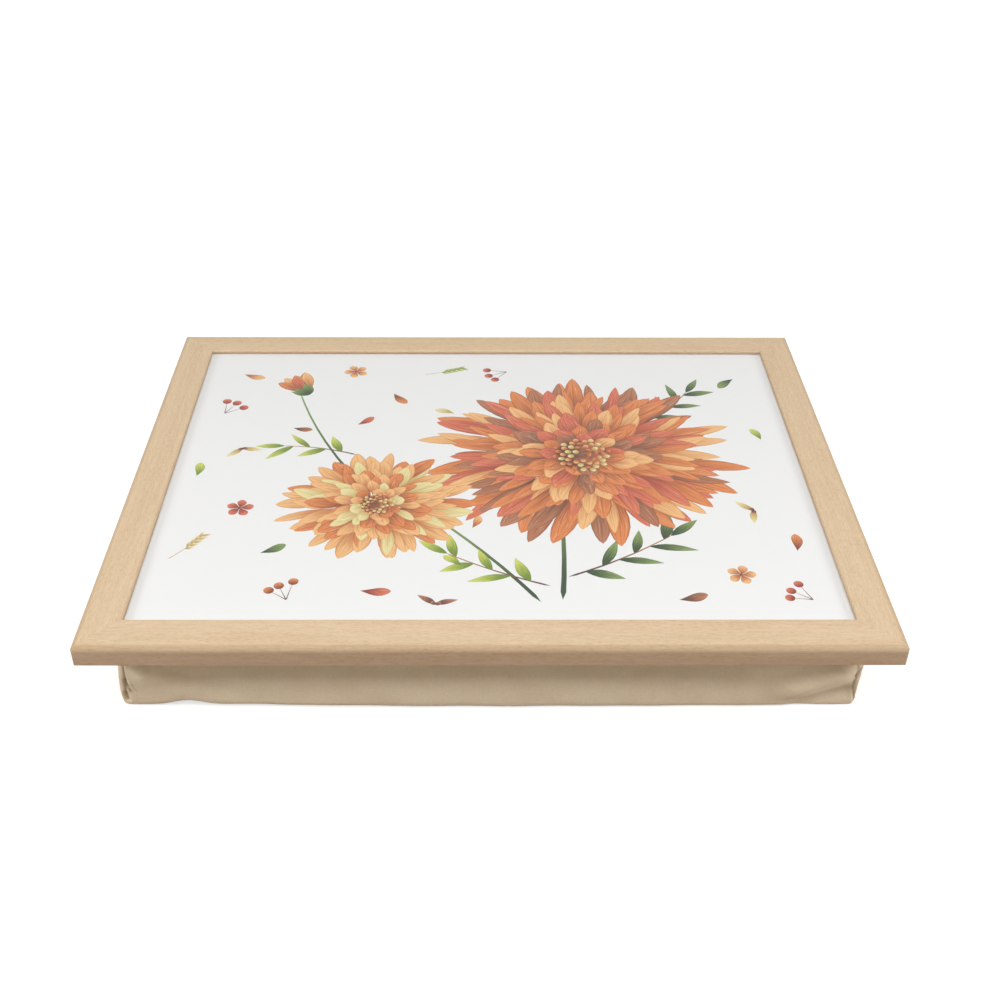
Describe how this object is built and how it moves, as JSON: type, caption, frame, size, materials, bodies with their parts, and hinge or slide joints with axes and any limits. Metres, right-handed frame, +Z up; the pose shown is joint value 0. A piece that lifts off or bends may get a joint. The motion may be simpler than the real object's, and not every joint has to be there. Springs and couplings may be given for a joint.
{
  "type": "lap tray",
  "caption": "Lap tray: a rectangular wooden picture-frame rim round a flat laminated printed panel, fixed on a low box-shaped bead-filled cloth cushion that rests on the lap.",
  "frame": {"origin": "middle of the tray in plan, on the surface that the cushion rests on", "axes": "+X along the tray's width (its long side), +Y away from the person using it, +Z up"},
  "size_m": [0.44, 0.34, 0.06],
  "materials": {
    "beech_moulding": "satin",
    "white_laminate": "satin",
    "fibreboard": "matte",
    "cream_cotton": "matte",
    "lining_cloth": "matte",
    "polystyrene_beads": "matte",
    "fastener_steel": "satin"
  },
  "bodies": {
    "root": {"front_rail": "beech_moulding", "right_rail": "beech_moulding", "back_rail": "beech_moulding", "left_rail": "beech_moulding", "printed_face": "white_laminate", "tray_board": "fibreboard", "cushion_cover": "cream_cotton", "cushion_top_cloth": "lining_cloth", "bead_fill": "polystyrene_beads", "v_nail_front_left_outer": "fastener_steel", "v_nail_front_left_inner": "fastener_steel", "v_nail_front_right_outer": "fastener_steel", "v_nail_front_right_inner": "fastener_steel", "v_nail_back_right_outer": "fastener_steel", "v_nail_back_right_inner": "fastener_steel", "v_nail_back_left_outer": "fastener_steel", "v_nail_back_left_inner": "fastener_steel", "framers_point_front_1": "fastener_steel", "framers_point_front_2": "fastener_steel", "framers_point_front_3": "fastener_steel", "framers_point_right_1": "fastener_steel", "framers_point_right_2": "fastener_steel", "framers_point_back_1": "fastener_steel", "framers_point_back_2": "fastener_steel", "framers_point_back_3": "fastener_steel", "framers_point_left_1": "fastener_steel", "framers_point_left_2": "fastener_steel", "staple_front_1": "fastener_steel", "staple_front_2": "fastener_steel", "staple_front_3": "fastener_steel", "staple_front_4": "fastener_steel", "staple_right_1": "fastener_steel", "staple_right_2": "fastener_steel", "staple_right_3": "fastener_steel", "staple_back_1": "fastener_steel", "staple_back_2": "fastener_steel", "staple_back_3": "fastener_steel", "staple_back_4": "fastener_steel", "staple_left_1": "fastener_steel", "staple_left_2": "fastener_steel", "staple_left_3": "fastener_steel"}
  },
  "joints": []
}
